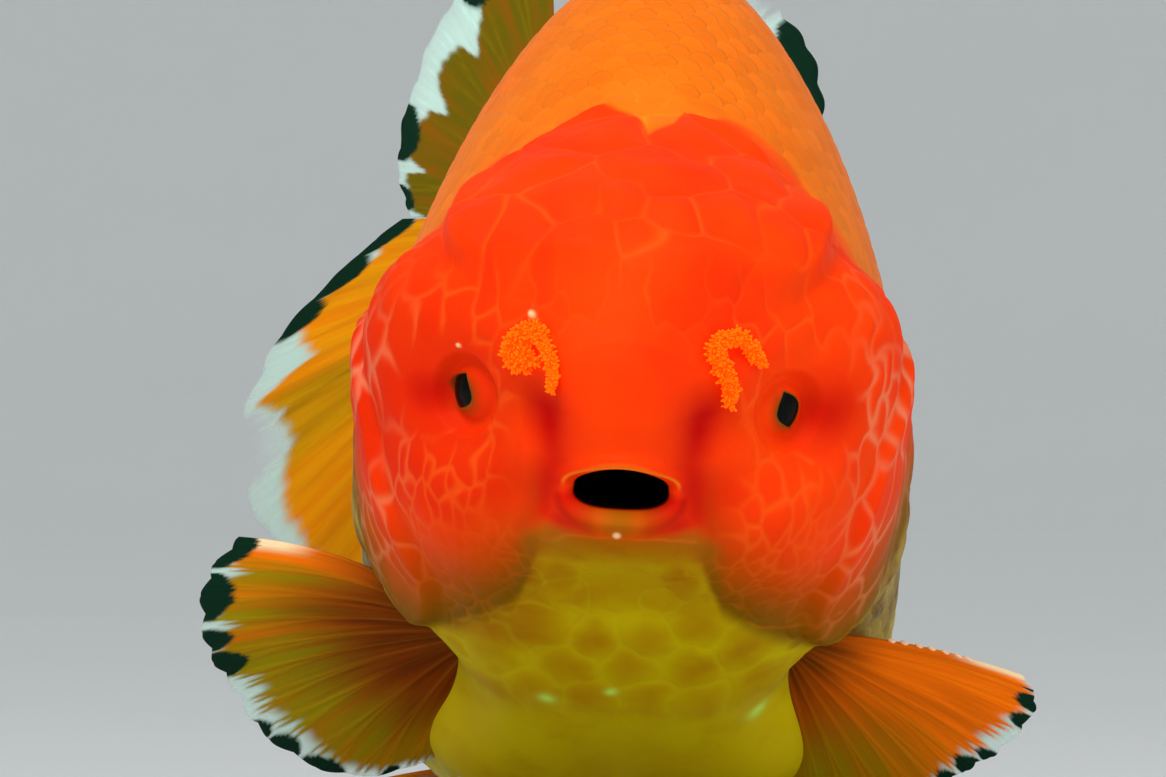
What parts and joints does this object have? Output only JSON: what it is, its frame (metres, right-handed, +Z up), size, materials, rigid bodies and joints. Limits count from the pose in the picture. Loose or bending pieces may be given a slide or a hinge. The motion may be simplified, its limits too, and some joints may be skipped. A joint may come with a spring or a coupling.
{
  "type": "ranchu goldfish",
  "caption": "Life-size still ranchu goldfish with a lobed hood over its head, spread fins and a divided tail, held nose down over a flat wooden base by short rods.",
  "frame": {"origin": "middle of the display base's underside", "axes": "+Z up, the fish faces -Y with its nose down, +X is the fish's left side"},
  "size_m": [0.0966, 0.1596, 0.1385],
  "materials": {
    "wen": "moist, finely lobed",
    "scaled_skin": "wet gloss over scales",
    "bouquet": "moist, frilled",
    "eye": "polished",
    "fin": "ribbed, translucent towards the edge",
    "rod": "satin",
    "base": "oiled walnut"
  },
  "bodies": {
    "root": {"head": "wen", "wen_crown": "wen", "gill_cover_right": "wen", "gill_cover_left": "wen", "eye_right": "eye", "eye_left": "eye", "narial_bouquet_right": "bouquet", "narial_bouquet_left": "bouquet", "trunk": "scaled_skin", "tail_stalk": "scaled_skin", "pectoral_fin_right": "fin", "pectoral_fin_left": "fin", "pelvic_fin_right": "fin", "pelvic_fin_left": "fin", "anal_fin_right": "fin", "anal_fin_left": "fin", "caudal_upper_right": "fin", "caudal_lower_right": "fin", "caudal_upper_left": "fin", "caudal_lower_left": "fin", "stand_rod_front": "rod", "stand_rod_rear": "rod", "stand_base": "base"}
  },
  "joints": []
}
